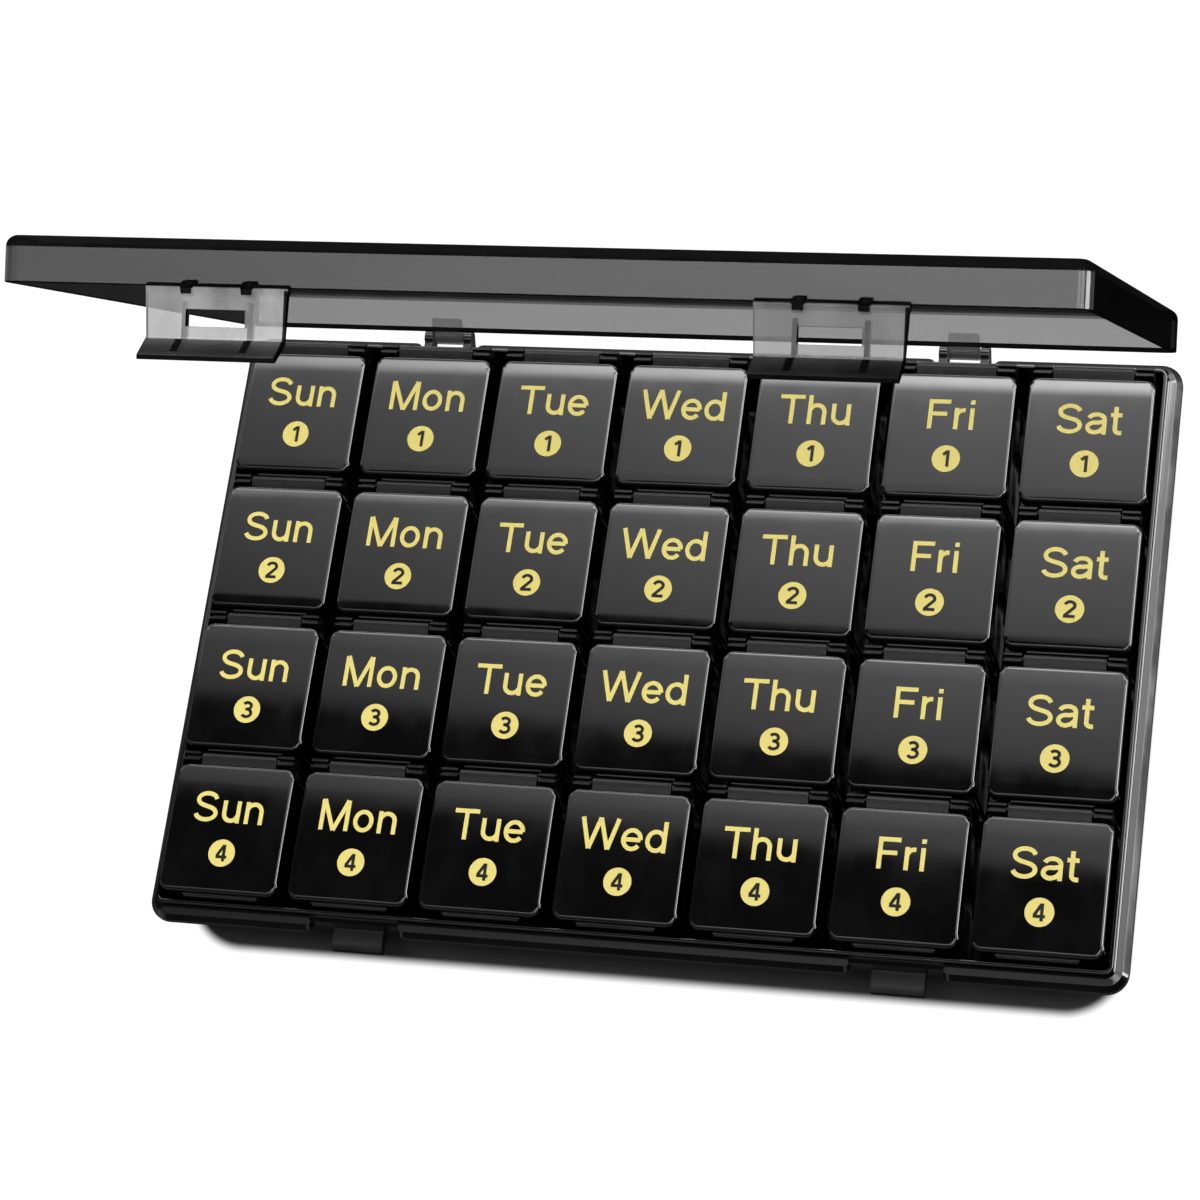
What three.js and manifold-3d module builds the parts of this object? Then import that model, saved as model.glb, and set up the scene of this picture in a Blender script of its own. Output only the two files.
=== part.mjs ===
// Four-week pill organizer: an open tray that holds 28 small lidded pods, seven days by four weeks,
// under one hinged cover with two snap latches. Millimetres, +Z up, the user's side at -Y.
// The origin is the centre of the tray's flat underside. The cover is shown standing open.
import * as THREE from 'three';
import { mergeVertices } from 'three/addons/utils/BufferGeometryUtils.js';
import Module from 'manifold-3d';

const days = ['sun', 'mon', 'tue', 'wed', 'thu', 'fri', 'sat'];
const weeks = [1, 2, 3, 4];

// Clearances
const seatGap = 0.3;
const seamGap = 0.3;
const cutOverrun = 1;
const mergeTolerance = 1e-5;

// Pod lids
const lidWidth = 28.7;
const lidDepth = 30.6;
const lidHeight = 4.5;
const lidWall = 1.3;
const lidRoof = 1.4;
const lidCornerRadius = 2.6;
const lidEdgeRadius = 1;
const lidGap = 2.8;
const podGap = 0.4;
const thumbReach = 0.7;
const thumbHeight = 1.2;
const thumbInset = 5.3;

// Pod boxes
const boxHeight = 21.3;
const boxWall = 1.2;
const boxFloor = 1.4;
const boxDraft = 0.4;
const lidOverhang = 0.5;

// Pod hinges: a knuckle with two pins on the lid, snapped into two open ears on the box
const pinRadius = 0.55;
const pinFit = 0.15;
const pinMouth = 0.45;
const knuckleRadius = 1.2;
const earRadius = 1.35;
const earWidth = 4;
const earGap = 0.4;
const earInset = 0.75;
const earRoot = 4.6;
const hingeGap = 0.4;
const knuckleDrop = 1.7;
const pinEndGap = 0.5;
const knuckleWeb = 1.3;
const knuckleArcDegrees = 135;

// Tray
const trayHeight = 20;
const trayFloor = 1.6;
const trayWall = 1.8;
const trayOuterDraft = 1.7;
const trayInnerDraft = 1.5;
const trayFootRadius = 3;
const cavityCornerRadius = 1;
const sideClearance = 0.9;
const endClearance = 0.5;
const spigotWall = 1;
const spigotHeight = 3.5;
const lipReach = 1.3;
const lipDrop = 1.6;
const lipHeight = 3.5;
const ribThickness = 2.2;
const ribHeight = 5;
const ribEndGap = 1.2;
const ribRoot = 0.4;

// Cover
const coverWall = 1.4;
const coverFit = 0.3;
const coverHeadroom = 0.7;
const coverEdgeRadius = 2;
const coverOpenDegrees = 69.4;

// Cover hinges: a knuckle with two pins on the cover, between two ears on the tray
const hingeSpacing = 126;
const hingeSetback = 2.4;
const hingeDrop = 1.1;
const hingeKnuckleRadius = 1.5;
const hingeKnuckleLength = 7;
const hingePinRadius = 0.8;
const hingePinFit = 0.25;
const hingeEarRadius = 1.9;
const hingeEarWidth = 2;
const hingeEarGap = 0.4;
const hingeEarRoot = 6.5;
const hingeEarArcDegrees = [150, -60];
const hingeWebRise = 3.2;
const hingeWebDegrees = 53;
const hingeNotchGap = 0.8;

// Latches: a plate with a window that snaps over a catch on the tray
const latchSpacing = 126;
const latchWidth = 30.6;
const latchTaper = 0.5;
const latchPlate = 1.4;
const latchDrop = 10.6;
const latchSetback = 2.3;
const latchBelowSkirt = 0.6;
const latchKnuckleRadius = 1.1;
const latchPinRadius = 0.7;
const latchPinFit = 0.25;
const lugCentre = 6.5;
const lugWidth = 2.2;
const lugRadius = 1.9;
const lugRise = 2.7;
const lugArcDegrees = [-50, -252];
const lugGap = 0.3;
const lugNotchDrop = 2.3;
const tabReach = 4.6;
const tabDrop = 4.2;
const tabThickness = 1.1;
const windowWidth = 12.8;
const windowHeight = 3.5;
const windowDrop = 4.2;
const latchRibWidth = 1;
const latchRibDepth = 1.2;
const latchRibOffset = 0.2;
const catchFit = 0.4;
const catchNose = 0.9;
const catchRamp = 0.8;
const notchWidth = 20.6;
const notchDrop = 1;

// Number of facets on round stretches
const podCornerSteps = 2;
const caseCornerSteps = 4;
const footSteps = 2;
const roundSteps = 8;
const smallRoundSteps = 3;
const pinSides = 6;

// Places that follow from the sizes above
const columnPitch = lidWidth + lidGap;
const podDepth = thumbReach + lidDepth + hingeGap + 2 * earRadius;
const rowPitch = podDepth + podGap;
const podHeight = boxHeight + seamGap + lidHeight;
const lidCentreY = thumbReach + lidDepth / 2 - podDepth / 2;
const lidFrontY = lidCentreY - lidDepth / 2;
const lidRearY = lidCentreY + lidDepth / 2;
const pinY = lidRearY + hingeGap + earRadius;
const pinZ = podHeight - knuckleDrop;
const lidBaseZ = boxHeight + seamGap;
const boxHalfWidth = lidWidth / 2 - lidOverhang;
const boxHalfDepth = lidDepth / 2 - lidOverhang;
const boxRearY = lidCentreY + boxHalfDepth;
const earOuterX = lidWidth / 2 - earInset;
const earInnerX = earOuterX - earWidth;
const knuckleHalf = earInnerX - earGap;

const podSeatZ = trayFloor + seatGap;
const cavityHalfWidth = (days.length * columnPitch - lidGap) / 2 + sideClearance;
const cavityHalfDepth = (weeks.length * rowPitch - podGap) / 2 + endClearance;
const ledgeOffset = spigotWall + coverFit + coverWall;
const lipOffset = ledgeOffset + lipReach;
const ledgeY = cavityHalfDepth + ledgeOffset;
const lipY = cavityHalfDepth + lipOffset;
const wallY = cavityHalfDepth + trayWall;
const lipBottomZ = trayHeight - lipHeight;

const skirtZ = trayHeight + seatGap;
const ceilingZ = podSeatZ + podHeight + coverHeadroom;
const coverTopZ = ceilingZ + coverWall;

const hingeY = ledgeY + hingeSetback;
const hingeZ = trayHeight - hingeDrop;
const hingeEarX = hingeKnuckleLength / 2 + hingeEarGap;
const hingeNotchHalf = hingeEarX + hingeEarWidth + hingeNotchGap;

const latchY = -(ledgeY + latchSetback);
const latchZ = skirtZ - latchBelowSkirt;
const plateOuterY = -latchKnuckleRadius;
const plateInnerY = plateOuterY + latchPlate;
const windowTopZ = latchZ - windowDrop;

// Turn a three.js geometry into a solid and back
const wasm = await Module();
wasm.setup();

function toSolid(geometry) {
  const bare = geometry.clone();
  bare.deleteAttribute('normal');
  bare.deleteAttribute('uv');
  const merged = mergeVertices(bare, mergeTolerance);
  return new wasm.Manifold(new wasm.Mesh({
    numProp: 3,
    vertProperties: Float32Array.from(merged.attributes.position.array),
    triVerts: Uint32Array.from(merged.index.array),
  }));
}

function toGeometry(solid) {
  const mesh = solid.getMesh();
  const geometry = new THREE.BufferGeometry();
  geometry.setAttribute('position', new THREE.BufferAttribute(mesh.vertProperties, 3));
  geometry.setIndex(new THREE.BufferAttribute(mesh.triVerts, 1));
  geometry.computeVertexNormals();
  return geometry;
}

function fuse(body, additions, cuts = []) {
  let solid = toSolid(body);
  for (const cut of cuts) {
    solid = solid.subtract(toSolid(cut));
  }
  for (const addition of additions) {
    solid = solid.add(toSolid(addition));
  }
  return toGeometry(solid);
}

// A level ring of points round a rectangle with rounded corners, anticlockwise from above
function roundedRing({ halfWidth, halfDepth, radius, z, steps, centreY = 0 }) {
  const ring = [];
  for (let corner = 0; corner < 4; corner += 1) {
    const signX = corner === 0 || corner === 3 ? 1 : -1;
    const signY = corner < 2 ? 1 : -1;
    for (let step = 0; step <= steps; step += 1) {
      const angle = (corner + step / steps) * Math.PI / 2;
      ring.push(new THREE.Vector3(
        signX * (halfWidth - radius) + radius * Math.cos(angle),
        centreY + signY * (halfDepth - radius) + radius * Math.sin(angle),
        z,
      ));
    }
  }
  return ring;
}

// A closed solid through rings of equal count: the first is capped facing down, the last facing up
function loft(rings) {
  const count = rings[0].length;
  const last = (rings.length - 1) * count;
  const positions = rings.flat().flatMap((point) => [point.x, point.y, point.z]);
  const faces = [];
  for (let level = 0; level < rings.length - 1; level += 1) {
    for (let i = 0; i < count; i += 1) {
      const a = level * count + i;
      const b = level * count + (i + 1) % count;
      faces.push(a, b, b + count, a, b + count, a + count);
    }
  }
  for (let i = 1; i < count - 1; i += 1) {
    faces.push(0, i + 1, i);
    faces.push(last, last + i, last + i + 1);
  }
  const geometry = new THREE.BufferGeometry();
  geometry.setAttribute('position', new THREE.Float32BufferAttribute(positions, 3));
  geometry.setIndex(faces);
  return geometry;
}

// A side profile, drawn in Y and Z, run along X from one end to the other
function alongX(shape, startX, endX, curveSegments = 1) {
  const geometry = new THREE.ExtrudeGeometry(shape, {
    depth: endX - startX,
    bevelEnabled: false,
    steps: 1,
    curveSegments,
  });
  const turn = new THREE.Matrix4().makeBasis(
    new THREE.Vector3(0, 1, 0),
    new THREE.Vector3(0, 0, 1),
    new THREE.Vector3(1, 0, 0),
  );
  geometry.applyMatrix4(turn);
  return geometry.translate(startX, 0, 0);
}

function outline(points) {
  return new THREE.Shape(points.map(([y, z]) => new THREE.Vector2(y, z)));
}

function barX(radius, halfLength, y, z, sides) {
  return new THREE.CylinderGeometry(radius, radius, 2 * halfLength, sides)
    .rotateZ(Math.PI / 2)
    .translate(0, y, z);
}

function block(lowX, highX, lowY, highY, lowZ, highZ) {
  return new THREE.BoxGeometry(highX - lowX, highY - lowY, highZ - lowZ)
    .translate((lowX + highX) / 2, (lowY + highY) / 2, (lowZ + highZ) / 2);
}

// Pod box: a drafted cup with two snap-in hinge ears behind its rim
function podRing(halfWidth, halfDepth, radius, z) {
  return roundedRing({ halfWidth, halfDepth, radius, z, steps: podCornerSteps, centreY: lidCentreY });
}

function boxRing(inset, z) {
  const radius = Math.max(lidCornerRadius - lidOverhang - inset, boxWall / 4);
  return podRing(boxHalfWidth - inset, boxHalfDepth - inset, radius, z);
}

function podEar(startX, endX) {
  const slot = pinRadius + pinFit;
  const earTop = pinZ + earRadius;
  const profile = outline([
    [boxRearY - boxWall / 2, boxHeight - earRoot],
    [pinY + earRadius, pinZ - 2 * earRadius],
    [pinY + earRadius, pinZ + earRadius / 2],
    [pinY + pinMouth, earTop],
    [pinY + slot, pinZ],
    [pinY, pinZ - 3 * slot / 2],
    [pinY - slot, pinZ],
    [pinY - pinMouth, earTop],
    [pinY - earRadius, pinZ + earRadius / 2],
    [pinY - earRadius, boxHeight - seamGap],
    [boxRearY - boxWall / 2, boxHeight - seamGap],
  ]);
  return alongX(profile, startX, endX);
}

function makeBox() {
  const cup = loft([
    boxRing(boxDraft, 0),
    boxRing(0, boxHeight),
    boxRing(boxWall, boxHeight),
    boxRing(boxWall + boxDraft, boxFloor),
  ]);
  return fuse(cup, [podEar(-earOuterX, -earInnerX), podEar(earInnerX, earOuterX)]);
}

// Pod lid: a shallow round-edged cap with a thumb lip in front and the pinned knuckle behind
function lidRing(inset, z) {
  return podRing(lidWidth / 2 - inset, lidDepth / 2 - inset, Math.max(lidCornerRadius - inset, lidWall / 2), z);
}

function makeLid() {
  const halfTurnShare = 1 - Math.SQRT1_2;
  const cap = loft([
    lidRing(lidWall, podHeight - lidRoof),
    lidRing(lidWall, lidBaseZ),
    lidRing(0, lidBaseZ),
    lidRing(0, podHeight - lidEdgeRadius),
    lidRing(lidEdgeRadius * halfTurnShare, podHeight - lidEdgeRadius * halfTurnShare),
    lidRing(lidEdgeRadius, podHeight),
  ]);
  const thumbLip = alongX(outline([
    [lidFrontY + lidWall / 2, lidBaseZ],
    [lidFrontY + lidWall / 2, lidBaseZ + thumbHeight],
    [lidFrontY - thumbReach, lidBaseZ + thumbHeight / 2],
    [lidFrontY - thumbReach, lidBaseZ],
  ]), thumbInset - lidWidth / 2, lidWidth / 2 - thumbInset);
  const knuckle = new THREE.Shape();
  const webY = lidRearY - lidWall / 2;
  const arc = THREE.MathUtils.degToRad(knuckleArcDegrees);
  knuckle.moveTo(webY, pinZ + knuckleWeb / 2);
  knuckle.lineTo(webY, pinZ - knuckleWeb);
  knuckle.absarc(pinY, pinZ, knuckleRadius, -arc, arc, false);
  knuckle.closePath();
  const hinge = alongX(knuckle, -knuckleHalf, knuckleHalf, smallRoundSteps);
  const pins = barX(pinRadius, earOuterX - pinEndGap, pinY, pinZ, pinSides);
  return fuse(cap, [thumbLip, hinge, pins]);
}

// Tray and cover share one plan: an outline set off from the wall of the pods' cavity
function caseRing(offset, z) {
  return roundedRing({
    halfWidth: cavityHalfWidth + offset,
    halfDepth: cavityHalfDepth + offset,
    radius: Math.max(cavityCornerRadius + offset, trayWall / 2),
    z,
    steps: caseCornerSteps,
  });
}

function latchXs() {
  return [-latchSpacing / 2, latchSpacing / 2];
}

function hingeXs() {
  return [-hingeSpacing / 2, hingeSpacing / 2];
}

function trayShell() {
  const footOffset = trayWall - trayOuterDraft - trayFootRadius;
  const foot = [];
  for (let step = 0; step <= footSteps; step += 1) {
    const angle = (step / footSteps) * Math.PI / 2;
    foot.push(caseRing(
      footOffset + trayFootRadius * Math.sin(angle),
      trayFootRadius * (1 - Math.cos(angle)),
    ));
  }
  return loft([
    ...foot,
    caseRing(trayWall, lipBottomZ),
    caseRing(lipOffset, lipBottomZ),
    caseRing(lipOffset, trayHeight - lipDrop),
    caseRing(ledgeOffset, trayHeight),
    caseRing(spigotWall, trayHeight),
    caseRing(spigotWall, trayHeight + spigotHeight),
    caseRing(0, trayHeight + spigotHeight),
    caseRing(-trayInnerDraft, trayFloor),
  ]);
}

// Low ribs on the tray floor keep the pods in their rows and columns
function floorRibs() {
  const ribs = [];
  const low = trayFloor - ribRoot;
  const high = trayFloor + ribHeight;
  const reachX = cavityHalfWidth - trayInnerDraft - ribEndGap;
  const reachY = cavityHalfDepth - trayInnerDraft - ribEndGap;
  for (let column = 1; column < days.length; column += 1) {
    const x = (column - days.length / 2) * columnPitch;
    ribs.push(block(x - ribThickness / 2, x + ribThickness / 2, -reachY, reachY, low, high));
  }
  for (let row = 1; row < weeks.length; row += 1) {
    const y = (row - weeks.length / 2) * rowPitch + lidCentreY;
    ribs.push(block(-reachX, reachX, y - ribThickness / 2, y + ribThickness / 2, low, high));
  }
  return ribs;
}

// A catch stands out of the front wall, through the latch's window
function catches() {
  const high = windowTopZ - catchFit;
  const low = windowTopZ - windowHeight + catchFit;
  const nose = latchY + plateOuterY - catchNose;
  const profile = outline([
    [-wallY + trayWall / 2, low],
    [-wallY + trayWall / 2, high],
    [latchY + plateInnerY, high],
    [nose, high - catchRamp],
    [nose, low + catchRamp / 2],
    [latchY + plateOuterY, low],
  ]);
  const half = windowWidth / 2 - catchFit;
  return latchXs().map((x) => alongX(profile, x - half, x + half));
}

function hingeEars() {
  const shape = new THREE.Shape();
  const rootY = wallY - trayWall / 2;
  const [arcStart, arcEnd] = hingeEarArcDegrees.map(THREE.MathUtils.degToRad);
  shape.moveTo(rootY, hingeZ + hingeEarRadius / 2);
  shape.absarc(hingeY, hingeZ, hingeEarRadius, arcStart, arcEnd, true);
  shape.lineTo(rootY, hingeZ - hingeEarRoot);
  shape.closePath();
  const hole = new THREE.Path();
  hole.absarc(hingeY, hingeZ, hingePinRadius + hingePinFit, 0, Math.PI * 2, false);
  shape.holes.push(hole);
  const ears = [];
  for (const x of hingeXs()) {
    ears.push(alongX(shape, x + hingeEarX, x + hingeEarX + hingeEarWidth, smallRoundSteps));
    ears.push(alongX(shape, x - hingeEarX - hingeEarWidth, x - hingeEarX, smallRoundSteps));
  }
  return ears;
}

// The lip is cut back to the wall where the latches and the hinges pass it
function rimNotches() {
  const low = lipBottomZ - notchDrop;
  const high = trayHeight + cutOverrun;
  const outer = lipY + cutOverrun;
  const front = latchXs().map((x) => block(x - notchWidth / 2, x + notchWidth / 2, -outer, -wallY, low, high));
  const rear = hingeXs().map((x) => block(x - hingeNotchHalf, x + hingeNotchHalf, wallY, outer, low, high));
  return [...front, ...rear];
}

function makeTray() {
  return fuse(trayShell(), [...floorRibs(), ...catches(), ...hingeEars()], rimNotches());
}

// Cover: a shallow round-edged lid whose skirt sits on the tray's ledge round the spigot
function coverShell() {
  const inner = ledgeOffset - coverWall;
  const innerRadius = Math.max(coverEdgeRadius - coverWall, coverWall / 4);
  const edge = [];
  for (let step = 0; step <= footSteps; step += 1) {
    const angle = (step / footSteps) * Math.PI / 2;
    edge.push(caseRing(
      ledgeOffset - coverEdgeRadius * (1 - Math.cos(angle)),
      coverTopZ - coverEdgeRadius * (1 - Math.sin(angle)),
    ));
  }
  return loft([
    caseRing(inner - innerRadius, ceilingZ),
    caseRing(inner, ceilingZ - innerRadius),
    caseRing(inner, skirtZ),
    caseRing(ledgeOffset, skirtZ),
    ...edge,
  ]);
}

// Two lugs for each latch hang from the front skirt and ring the latch's pin
function latchLugs() {
  const shape = new THREE.Shape();
  const rootY = -(ledgeY - coverWall / 2);
  const [arcStart, arcEnd] = lugArcDegrees.map(THREE.MathUtils.degToRad);
  shape.moveTo(rootY, skirtZ);
  shape.absarc(latchY, latchZ, lugRadius, arcStart, arcEnd, true);
  shape.lineTo(rootY, skirtZ + lugRise);
  shape.closePath();
  const hole = new THREE.Path();
  hole.absarc(latchY, latchZ, latchPinRadius + latchPinFit, 0, Math.PI * 2, false);
  shape.holes.push(hole);
  const lugs = [];
  for (const x of latchXs()) {
    for (const side of [-1, 1]) {
      const centre = x + side * lugCentre;
      lugs.push(alongX(shape, centre - lugWidth / 2, centre + lugWidth / 2, smallRoundSteps));
    }
  }
  return lugs;
}

function coverKnuckles() {
  const rootY = ledgeY - coverWall * 3 / 4;
  const angle = THREE.MathUtils.degToRad(hingeWebDegrees);
  const profile = outline([
    [rootY, skirtZ],
    [hingeY - hingeKnuckleRadius * Math.cos(angle), hingeZ - hingeKnuckleRadius * Math.sin(angle)],
    [hingeY, hingeZ + hingeKnuckleRadius],
    [ledgeY, skirtZ + hingeWebRise],
    [rootY, skirtZ + hingeWebRise],
  ]);
  const half = hingeKnuckleLength / 2;
  const pinHalf = hingeEarX + hingeEarWidth;
  return hingeXs().flatMap((x) => [
    alongX(profile, x - half, x + half),
    barX(hingeKnuckleRadius, half, hingeY, hingeZ, roundSteps).translate(x, 0, 0),
    barX(hingePinRadius, pinHalf, hingeY, hingeZ, roundSteps).translate(x, 0, 0),
  ]);
}

function makeCover() {
  return fuse(coverShell(), [...latchLugs(), ...coverKnuckles()]);
}

// Latch, about its own pin: knuckle, windowed plate, two stiffening ribs and a flared finger tab
function makeLatch() {
  const half = latchWidth / 2;
  const tabHalf = half - latchTaper;
  const tabTurnZ = -latchDrop;
  const plateRing = (y) => [[-half, 0], [half, 0], [tabHalf, tabTurnZ], [-tabHalf, tabTurnZ]]
    .map(([x, z]) => new THREE.Vector3(x, y, z));
  const plate = loft([plateRing(plateOuterY), plateRing(plateInnerY)]);
  const tab = alongX(outline([
    [plateOuterY, tabTurnZ + latchPlate / 2],
    [plateOuterY - tabReach, tabTurnZ - tabDrop + tabThickness],
    [plateOuterY - tabReach, tabTurnZ - tabDrop],
    [plateOuterY - tabReach + tabThickness / 2, tabTurnZ - tabDrop],
    [plateInnerY, tabTurnZ - latchPlate / 2],
    [plateInnerY, tabTurnZ + latchPlate / 2],
  ]), -tabHalf, tabHalf);
  const ribs = [-1, 1].map((side) => {
    const inner = windowWidth / 2 + latchRibOffset;
    const low = Math.min(side * inner, side * (inner + latchRibWidth));
    const profile = outline([
      [plateInnerY - latchPlate / 2, -lugNotchDrop - lugGap],
      [plateInnerY - latchPlate / 2, tabTurnZ - latchPlate / 2],
      [plateInnerY, tabTurnZ - latchPlate / 2],
      [plateInnerY + latchRibDepth, tabTurnZ + latchRibDepth],
      [plateInnerY + latchRibDepth, -lugNotchDrop - lugGap - latchRibDepth],
      [plateInnerY, -lugNotchDrop - lugGap],
    ]);
    return alongX(profile, low, low + latchRibWidth);
  });
  const knuckle = barX(latchKnuckleRadius, half, 0, 0, roundSteps);
  const pin = barX(latchPinRadius, half - latchTaper, 0, 0, roundSteps);
  const window = block(
    -windowWidth / 2, windowWidth / 2,
    plateOuterY - cutOverrun, plateInnerY + cutOverrun,
    -windowDrop - windowHeight, -windowDrop,
  );
  const notches = [-1, 1].map((side) => block(
    side * lugCentre - lugWidth / 2 - lugGap, side * lugCentre + lugWidth / 2 + lugGap,
    plateOuterY - cutOverrun, latchKnuckleRadius + cutOverrun,
    -lugNotchDrop, latchKnuckleRadius + cutOverrun,
  ));
  const notched = fuse(fuse(plate, [knuckle, tab]), [], [window, ...notches]);
  return fuse(notched, [...ribs, pin]);
}

// Finishes
const blackGloss = new THREE.MeshStandardMaterial({ color: 0x0c0c0d, roughness: 0.12, metalness: 0 });
const trayBlack = new THREE.MeshStandardMaterial({ color: 0x0e0e0f, roughness: 0.22, metalness: 0 });
const smokeClear = new THREE.MeshStandardMaterial({
  color: 0x3a3b3d, roughness: 0.08, metalness: 0, transparent: true, opacity: 0.62,
});
const smokeLatch = new THREE.MeshStandardMaterial({
  color: 0x7e8082, roughness: 0.15, metalness: 0, transparent: true, opacity: 0.7,
});

// Assembly
function named(name, geometry, material) {
  const mesh = new THREE.Mesh(geometry, material);
  mesh.name = name;
  return mesh;
}

const organizer = new THREE.Group();
organizer.name = 'four_week_pill_organizer';
organizer.add(named('tray', makeTray(), trayBlack));

const box = makeBox();
const lid = makeLid();
weeks.forEach((week, row) => {
  days.forEach((day, column) => {
    const pod = new THREE.Group();
    pod.position.set(
      (column - (days.length - 1) / 2) * columnPitch,
      ((weeks.length - 1) / 2 - row) * rowPitch,
      podSeatZ,
    );
    pod.add(named(`box_${week}_${day}`, box, blackGloss));
    pod.add(named(`lid_${week}_${day}`, lid, blackGloss));
    organizer.add(pod);
  });
});

const openCover = new THREE.Group();
openCover.position.set(0, hingeY, hingeZ);
openCover.rotation.x = -THREE.MathUtils.degToRad(coverOpenDegrees);
const cover = named('cover', makeCover(), smokeClear);
cover.position.set(0, -hingeY, -hingeZ);
openCover.add(cover);

const latch = makeLatch();
['latch_left', 'latch_right'].forEach((name, index) => {
  const mesh = named(name, latch, smokeLatch);
  mesh.position.set(latchXs()[index], latchY - hingeY, latchZ - hingeZ);
  openCover.add(mesh);
});
organizer.add(openCover);

export default organizer;
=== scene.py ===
import math

import bmesh
import bpy
from mathutils import Euler, Matrix, Vector


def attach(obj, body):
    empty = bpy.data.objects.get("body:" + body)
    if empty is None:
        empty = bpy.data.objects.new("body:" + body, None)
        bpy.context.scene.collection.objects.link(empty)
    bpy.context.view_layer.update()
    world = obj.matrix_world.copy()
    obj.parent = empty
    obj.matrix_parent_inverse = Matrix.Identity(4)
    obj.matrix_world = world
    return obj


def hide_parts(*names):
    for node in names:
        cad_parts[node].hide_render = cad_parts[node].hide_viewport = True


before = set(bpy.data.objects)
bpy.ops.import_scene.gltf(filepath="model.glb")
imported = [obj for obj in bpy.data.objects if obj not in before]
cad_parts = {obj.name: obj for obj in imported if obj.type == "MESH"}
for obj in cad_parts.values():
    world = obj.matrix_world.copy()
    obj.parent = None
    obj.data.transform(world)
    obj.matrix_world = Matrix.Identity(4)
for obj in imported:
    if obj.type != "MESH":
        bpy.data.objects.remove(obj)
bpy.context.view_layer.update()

# Sizes are millimetres in the part's frame, and each mesh is scaled to metres when it is placed.
MM = 0.001
DAYS = ("sun", "mon", "tue", "wed", "thu", "fri", "sat")
WEEKS = (1, 2, 3, 4)
COLUMN_PITCH = 31.5
ROW_PITCH = 34.8
POD_SEAT = 1.9

# The lids and their hinge pins, seen from a pod's own middle
LID_HALF = (14.35, 15.3)
LID_CENTRE_Y = -1.2
LID_BASE = 21.6
LID_TOP = 26.1
PIN_Y = 15.85
PIN_Z = 24.4
DISC_Y = LID_CENTRE_Y - 6.0
DISC_RADIUS = 3.25
DAY_NAME_Y = LID_CENTRE_Y + 4.9

# The tray's inside, from which tray and cover are offset
CAVITY_HALF = (109.75, 69.9)
CAVITY_CORNER = 1.0
LEDGE = 20.0

# The cover, measured as it lies when shut, and how far it stands open
HINGE_Y = 75.0
HINGE_Z = 18.9
HINGE_X = 63.0
LATCH_X = 63.0
LATCH_Y = -74.9
LATCH_Z = 19.7
OPEN_DEGREES = 69.4
SKIRT = 20.3
CEILING = 28.7
COVER_TOP = 30.1

# No corner of a moulding is sharper than this, and no edge is shaded as a crease under this angle
LEAST_CORNER = 0.9
CREASE = math.radians(40)

# The plastic of all mouldings, and the printing inks
STYRENE_IOR = 1.5
INK_IOR = 1.45


# Finishes


class Value:
    """A number that varies over a surface. Python's operators on it add Math nodes."""

    def __init__(self, nodes, socket):
        self.nodes = nodes
        self.socket = socket

    def joined(self, operation, *numbers):
        return self.nodes.value("ShaderNodeMath", {"operation": operation}, dict(enumerate(numbers)))

    def __add__(self, other):
        return self.joined("ADD", self, other)

    def __sub__(self, other):
        return self.joined("SUBTRACT", self, other)

    def __rsub__(self, other):
        return self.joined("SUBTRACT", other, self)

    def __mul__(self, other):
        return self.joined("MULTIPLY", self, other)

    def __truediv__(self, other):
        return self.joined("DIVIDE", self, other)

    def __pow__(self, other):
        return self.joined("POWER", self, other)

    def __abs__(self):
        return self.joined("ABSOLUTE", self)

    __radd__ = __add__
    __rmul__ = __mul__

    def at_least(self, other):
        return self.joined("MAXIMUM", self, other)

    def ramp(self, low, high, first=0.0, last=1.0):
        """first below low, last above high, and smooth between them."""
        settings = {"interpolation_type": "SMOOTHSTEP"}
        inputs = {0: self, 1: low, 2: high, 3: first, 4: last}
        return self.nodes.value("ShaderNodeMapRange", settings, inputs)


class Nodes:
    """The node tree of a material or of the world."""

    def __init__(self, owner):
        owner.use_nodes = True
        self.tree = owner.node_tree

    def add(self, kind, settings=None, inputs=None):
        node = self.tree.nodes.new(kind)
        for setting, value in (settings or {}).items():
            setattr(node, setting, value)
        for socket, value in (inputs or {}).items():
            self.wire(node.inputs[socket], value)
        return node

    def wire(self, socket, value):
        if isinstance(value, Value):
            value = value.socket
        if isinstance(value, bpy.types.NodeSocket):
            self.tree.links.new(value, socket)
        else:
            socket.default_value = value

    def value(self, kind, settings=None, inputs=None, output=0):
        return Value(self, self.add(kind, settings, inputs).outputs[output])

    def seen_by(self, *rays):
        """1 for the named kinds of ray and 0 for others."""
        path = self.add("ShaderNodeLightPath")
        seen = [Value(self, path.outputs[f"Is {ray} Ray"]) for ray in rays]
        total = seen[0]
        for other in seen[1:]:
            total = total.at_least(other)
        return total


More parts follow.
